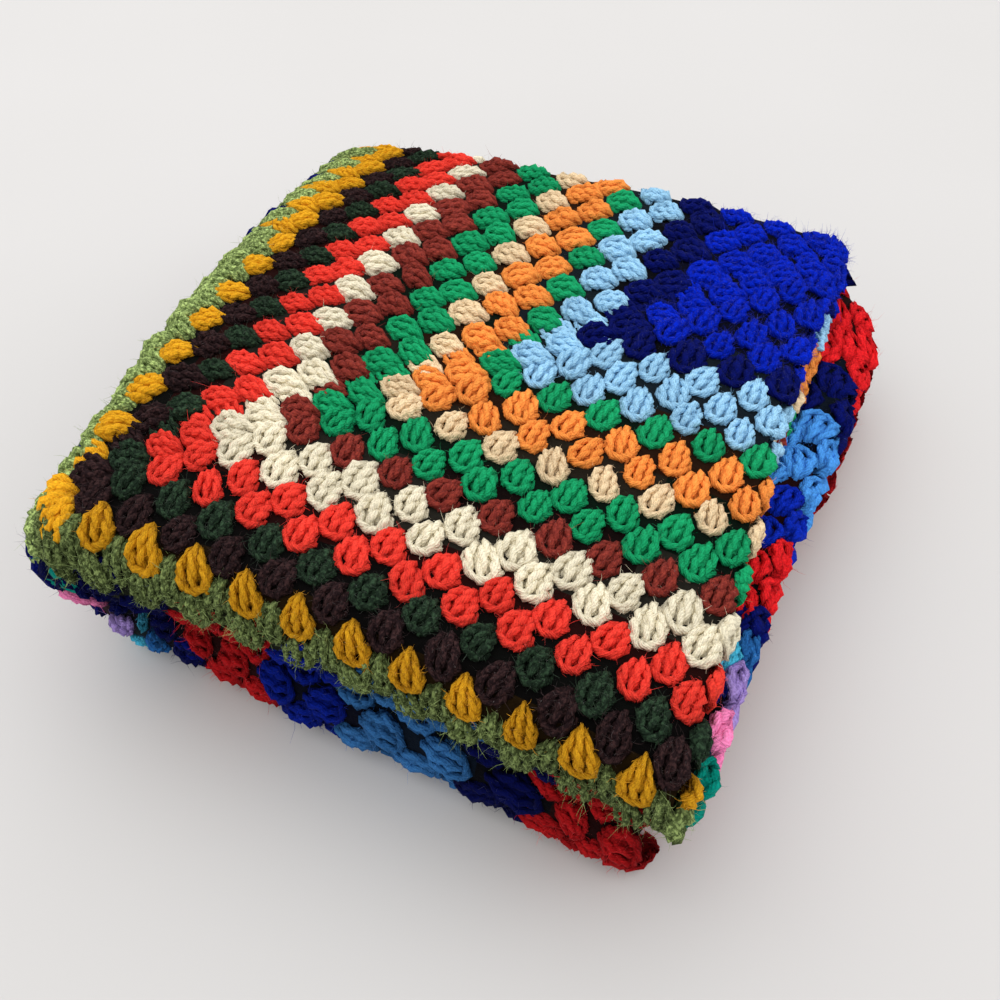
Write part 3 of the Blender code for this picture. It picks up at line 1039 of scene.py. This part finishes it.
# ---- the whole blanket
def dress():
    plied, fluffy, shaded = make_wools()
    # how many kinds, yarns, points along and round a stitch, points along and round its chain
    fine = kinds_of(8, 2, 9, 5, 11, 5)
    medium = kinds_of(6, 2, 7, 5, 9, 4)
    plain = kinds_of(4, 1, 5, 4, 8, 4)

    top_front = Clusters("front_rounds", fine, on_sheet)
    front_rounds(top_front, 1, TOP_ROUNDS)
    for n, k in ((1, 0.0), (2, 0.5), (2, -0.5)):
        top_front.add(k * APART, -(n - 0.5) * ROUND, TO_BACK, yarn_of(n), wide=1.12)
    top_left = Clusters("left_rounds", fine, on_sheet)
    left_rounds(top_left, 1, TOP_ROUNDS)
    front_fold = Clusters("front_fold_rounds", medium, on_sheet)
    front_rounds(front_fold, TOP_ROUNDS + 1, 31)
    left_fold = Clusters("left_fold_rounds", medium, on_sheet)
    left_rounds(left_fold, TOP_ROUNDS + 1, 36)
    lower_front = Clusters("lower_front_rounds", medium, on_sheet)
    underside = Clusters("underside_rounds", plain, on_sheet)
    for n in range(TOP_ROUNDS + 3, ALL_ROUNDS + 1):
        for v in (k * APART for k in places_along(n, 10.6)):
            if v < 31.5 * ROUND:
                # painted shade darkens the lower bundle's front
                lower_front.add((n - 0.5) * ROUND - drawn_left(n), v, TO_LEFT,
                                yarn_of(n, "left"), shade=3.5)
        for v in (k * APART for k in places_along(n, -1.9)):
            if n > 36 and v < 10.6 * APART:
                underside.add((n - 0.5) * ROUND, v, TO_LEFT, yarn_of(n, "left"))
    second_fold = Clusters("second_fold_rounds", medium, lay_on_right_fold(3))
    for i in range(ALONG_FOLD):
        y = BACK - 0.006 - (i + 0.5) * (DEEP + BACK) / ALONG_FOLD
        n = min(round(6.5 - 100 * y), TOP_ROUNDS)
        second_fold.add(0.006 if i % 2 else -0.002, y, TO_FRONT, yarn_of(13 if n == 12 else n))
    third_fold = Clusters("third_fold_rounds", medium, lay_on_right_fold(5))
    right_side_rounds(third_fold, 0.0)
    fourth_fold = Clusters("fourth_fold_rounds", plain, lay_on_right_fold(7))
    right_side_rounds(fourth_fold, -0.006)
    seen = [front_fold, left_fold, lower_front, second_fold, third_fold]

    def open_edge(name, surface, way, start, step, layer, count):
        edge = Clusters(name, plain, surface)
        for i in range(count):
            edge.add(EDGE_AT, start + (i + 0.5 * (layer % 2)) * step, way, SCARLET, **OPEN_EDGE)
        return edge

    half = APART / 2
    open_edges = [open_edge(f"open_edge_{layer}", lay_on_edge(layer), OUT_OF_EDGE,
                            -DEEP + 0.004, half, layer, 25) for layer in range(1, BUNDLE + 1)]
    back_pieces = []
    for under in (False, True):
        level = "lower" if under else "upper"
        for upper in (3, 6):
            fold = Clusters(f"back_fold_{upper}_{level}", plain, lay_on_back_fold(upper, under))
            for i in range(ALONG_FOLD):
                n = i + 1 if (upper == 3 and not under) else 27 + i
                fold.add(FOLD_AT if i % 2 else -FOLD_AT, -(i + 0.5) * (ACROSS + 0.02) / ALONG_FOLD,
                         ROUND_BACK_FOLD, yarn_of(n, "left"), thin=0.8)
            back_pieces.append(fold)
        back_pieces += [open_edge(f"back_edge_{layer}_{level}", lay_on_back_edge(layer, under),
                                  TO_RIGHT, 0.0, -half, layer, 24) for layer in (5, 8)]

    groups = [top_front, top_left, *seen, underside, fourth_fold, *open_edges, *back_pieces]
    pieces = [group.build(plied) for group in groups]
    # loose fibres, which pieces they stand on, how many, their length and width
    for name, under, count, *sizes in (
            ("fluff_of_the_front", [top_front], 22000),
            ("fluff_of_the_left", [top_left], 15000),
            ("fluff_of_the_folds", seen, 15000),
            ("fluff_of_the_edges", open_edges + back_pieces, 5000, 0.0036),
            ("long_hairs", open_edges, 260, 0.0100, 0.00012)):
        pieces.append(fluff(name, under, fluffy, count // (1), *sizes))
    sheet = folded_sheet(shaded)
    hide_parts("blanket")
    for piece in (sheet, *pieces):
        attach(piece, "root")


# ---- the room
# where the camera stands from the top layer's back right corner
CAMERA_PLACE = Vector((CORNER[0] + 0.0023, CORNER[1] - 0.4149, 2 * HALF_STACK + 0.2728))
CAMERA_TURN = math.radians(24.92)  # to the left of straight ahead
CAMERA_TILT = math.radians(49.99)  # below level
CAMERA_LENS = 32.73
DAYLIGHT, DAYLIGHT_COLOR = 0.98, (1.0, 0.985, 0.97, 1.0)
# light   where it hangs   its size   its power
LIGHTS = (("window", (3.2, 1.5, 2.8), 2.4, 18.0),
          ("ceiling", (-0.8, 0.5, 2.5), 3.6, 40.0))


def room():
    shade = Shading("pale_table")
    cloud = shade.noise(shade.place(), 3.0)
    pale = shade.finish({"Base Color": shade.mix(cloud, srgb(200, 199, 198), srgb(206, 205, 205)),
                         "Roughness": 0.7, "Specular IOR Level": 0.3})
    bpy.ops.mesh.primitive_plane_add(size=8.0, location=(0, 0, 0))
    floor = bpy.context.object
    floor.name = "floor"
    floor.data.materials.append(pale)

    world = bpy.data.worlds.new("soft_daylight")
    bpy.context.scene.world = world
    world.use_nodes = True
    sky = world.node_tree.nodes["Background"]
    sky.inputs["Color"].default_value = DAYLIGHT_COLOR
    sky.inputs["Strength"].default_value = DAYLIGHT

    for name, where, size, power in LIGHTS:
        light = bpy.data.lights.new(name, "AREA")
        light.size, light.energy = size, power
        lamp = put(name, light)
        lamp.location = where
        lamp.rotation_euler = (-Vector(where)).to_track_quat("-Z", "Y").to_euler()

    lens = bpy.data.cameras.new("camera")
    lens.lens = CAMERA_LENS
    lens.sensor_width = 36.0
    camera = put("camera", lens)
    camera.location = CAMERA_PLACE
    look = Vector((-math.sin(CAMERA_TURN) * math.cos(CAMERA_TILT),
                   math.cos(CAMERA_TURN) * math.cos(CAMERA_TILT), -math.sin(CAMERA_TILT)))
    camera.rotation_euler = look.to_track_quat("-Z", "Y").to_euler()
    bpy.context.scene.camera = camera
    bpy.context.scene.view_settings.view_transform = "Standard"


dress()
room()
